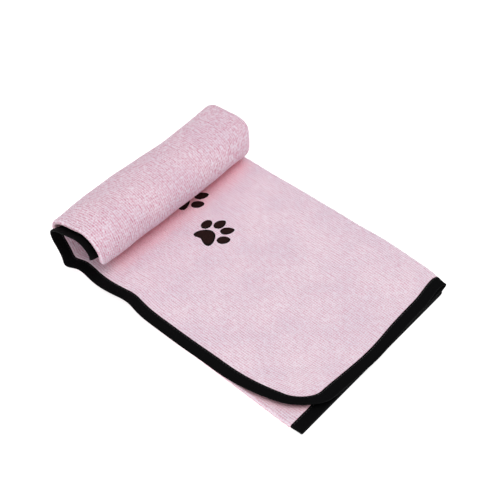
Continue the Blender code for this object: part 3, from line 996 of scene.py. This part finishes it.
def stitched_grid(outline, centre, grain):
    """Rings of points from a shape's middle to its rim and down into the cloth: x, y, the height over
    the cloth's middle surface, and how much each point belongs to the stitched border."""
    turn = np.arange(AROUND) * 2 * math.pi / AROUND
    ragged = 0.5 * np.sin(turn * 47 + 3 * np.sin(turn * 5)) + 0.5 * np.sin(turn * 31 + 1.3)
    edge = outline(turn) * (1 + RAGGED * ragged[:, None])
    share = np.sin(np.linspace(0.02, 1, RINGS) * math.pi / 2)[:, None]
    x = centre.x + share * edge[None, :, 0]
    y = centre.y + share * edge[None, :, 1]
    lie = (x - centre.x) * math.cos(grain) + (y - centre.y) * math.sin(grain)
    ridge = RIDGE_HEIGHT * np.sin(2 * math.pi * lie / RIDGE_PITCH)
    border = smooth((share - 0.8) / 0.08) + 0 * x
    dome = np.sqrt(np.maximum(1 - share ** 6, 0))
    height = PLY / 2 + dome * (STITCHED_HEIGHT + ridge) + BORDER_HEIGHT * border * (share < 0.99)
    rim = np.full((1, AROUND), PLY / 2 - STITCHED_DEPTH)
    return [np.concatenate(grid) for grid in ((x, x[-1:]), (y, y[-1:]), (height, rim), (border, border[-1:]))]


def dome_faces():
    """Faces between the rings of a stitched shape, with its middle and its underside closed."""
    faces = []
    for ring in range(RINGS):
        for k in range(AROUND):
            a = ring * AROUND + k
            b = ring * AROUND + (k + 1) % AROUND
            faces.append((a, a + AROUND, b + AROUND, b))
    faces.append(tuple(range(AROUND)))
    faces.append(tuple(reversed(range(RINGS * AROUND, (RINGS + 1) * AROUND))))
    return faces


def stitched_shape(name, outline, centre, grain, material):
    """A padded shape of satin stitch on the top ply, with thread ends along its ragged edge."""
    x, y, height, border = stitched_grid(outline, centre, grain)
    points = surface_point(BEND - x, y - TOP_EDGE, height).reshape(-1, 3)
    mesh = bpy.data.meshes.new(name)
    mesh.from_pydata(points.tolist(), [], dome_faces())
    flat = np.stack([x - centre.x, y - centre.y], axis=-1).reshape(-1, 2) / UV_UNIT
    cosine, sine = math.cos(grain), math.sin(grain)
    turned = np.stack([flat @ (cosine, sine), flat @ (-sine, cosine)], axis=-1)
    corners = np.zeros(len(mesh.loops), np.int32)
    mesh.loops.foreach_get("vertex_index", corners)
    layer = mesh.uv_layers.new(name="UVMap")
    layer.uv.foreach_set("vector", turned[corners].astype(np.float32).ravel())
    attribute = mesh.attributes.new("border", "FLOAT", "POINT")
    attribute.data.foreach_set("value", border.astype(np.float32).ravel())
    mesh.shade_smooth()
    piece = new_piece(name, mesh, material)
    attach(piece, "root")
    return piece


def paw_print(number, material):
    """A pad and four toes, each where its CAD node is."""
    def add(part, outline, grain):
        low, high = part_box(f"paw_{number}_{part}")
        piece = stitched_shape(f"stitched_{part}_{number}", outline, (low + high) / 2, grain, material)
        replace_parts(piece, f"paw_{number}_{part}")

    add("pad", pad_outline, 0.3)
    for index, toe in enumerate(TOES, 1):
        add(f"toe_{index}", lambda turn: toe_outline(toe, turn), math.radians(toe[0]))


# ---------------------------------------------------------------- stage

CAMERA_TARGET = Vector((-32.5 * MM, 22 * MM, 0))
CAMERA_AZIMUTH = math.radians(48)         # from straight in front, round to the left
CAMERA_ELEVATION = math.radians(46.5)
CAMERA_DISTANCE = 922 * MM
CAMERA_LENS = 64.8
FLOOR_HALF = 3.0
LAMPS = (
    ("Key", (0.6, -0.3, 2.0), 1.3, 20.5),
    ("Fill", (-0.7, -0.9, 1.6), 1.4, 4),
)
WORLD_STRENGTH = 0.46


def make_floor():
    """A pale floor, a little bright of its own so that it stays white."""
    half, z = FLOOR_HALF, cad_low.z - MM
    mesh = bpy.data.meshes.new("Floor")
    mesh.from_pydata([(-half, -half, z), (half, -half, z), (half, half, z), (-half, half, z)],
                     [], [(0, 1, 2, 3)])
    material = bpy.data.materials.new("Floor")
    material.use_nodes = True
    shader = material.node_tree.nodes["Principled BSDF"]
    shader.inputs["Base Color"].default_value = (0.6, 0.6, 0.6, 1)
    shader.inputs["Roughness"].default_value = 0.9
    shader.inputs["Emission Color"].default_value = (1, 1, 1, 1)
    shader.inputs["Emission Strength"].default_value = 0.78
    mesh.materials.append(material)
    floor = bpy.data.objects.new("Floor", mesh)
    bpy.context.scene.collection.objects.link(floor)


def make_lamp(name, place, size, power):
    """A round soft light, aimed at the origin."""
    lamp = bpy.data.lights.new(name, "AREA")
    lamp.shape = "DISK"
    lamp.size = size
    lamp.energy = power
    light = bpy.data.objects.new(name, lamp)
    light.location = place
    light.rotation_euler = (-light.location).to_track_quat("-Z", "Y").to_euler()
    bpy.context.scene.collection.objects.link(light)


def make_world():
    """Even white light from all round. The camera itself sees plain white behind the floor."""
    world = bpy.data.worlds.new("Studio")
    bpy.context.scene.world = world
    world.use_nodes = True
    tree = world.node_tree
    background = tree.nodes["Background"]
    background.inputs["Color"].default_value = (1, 1, 1, 1)
    seen = node(tree, "ShaderNodeLightPath").outputs["Is Camera Ray"]
    glow = maths(tree, "MULTIPLY_ADD", seen, 1 - WORLD_STRENGTH, WORLD_STRENGTH)
    plug(tree, background.inputs["Strength"], glow)


def make_camera():
    """The photograph's view: from in front, to the left and above."""
    level = CAMERA_DISTANCE * math.cos(CAMERA_ELEVATION)
    back = Vector((level * math.cos(CAMERA_AZIMUTH), -level * math.sin(CAMERA_AZIMUTH),
                   CAMERA_DISTANCE * math.sin(CAMERA_ELEVATION)))
    lens = bpy.data.cameras.new("Camera")
    lens.lens = CAMERA_LENS
    lens.sensor_width = 36
    camera = bpy.data.objects.new("Camera", lens)
    camera.location = CAMERA_TARGET + back
    camera.rotation_euler = (-back).to_track_quat("-Z", "Y").to_euler()
    bpy.context.scene.collection.objects.link(camera)
    bpy.context.scene.camera = camera


def make_stage():
    make_floor()
    for lamp in LAMPS:
        make_lamp(*lamp)
    make_world()
    make_camera()
    bpy.context.scene.view_settings.view_transform = "Standard"


# ---------------------------------------------------------------- the towel

def make_towel():
    """Every patch of cloth, tape and stitches, and the paw prints, each standing for its CAD nodes."""
    terry = terry_material()
    tape = tape_material()
    thread = thread_material()
    embroidery = embroidery_material()
    seam = seam_places()
    for number, patch in enumerate(towel_patches()):
        cloth = terry_patch(patch, terry)
        sewing = stitches(patch, seam, thread)
        if patch.name == "flat":
            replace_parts(cloth, "flat_cloth")
            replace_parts(flat_tape(patch, tape), "front_binding", "side_binding_top", "side_binding_under")
            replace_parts(sewing, "seam_thread")
            continue
        sides = {side: side_tape(patch, side, tape) for side in ("top", "under")}
        if patch.name == "roll_end":
            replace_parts(inner_end_tape(patch, tape), "inner_binding")
            continue
        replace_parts(cloth, f"roll_cloth_{number:02d}")
        for side, piece in sides.items():
            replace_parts(piece, f"roll_binding_{side}_{number:02d}")
    for number in (1, 2):
        paw_print(number, embroidery)


make_towel()
make_stage()
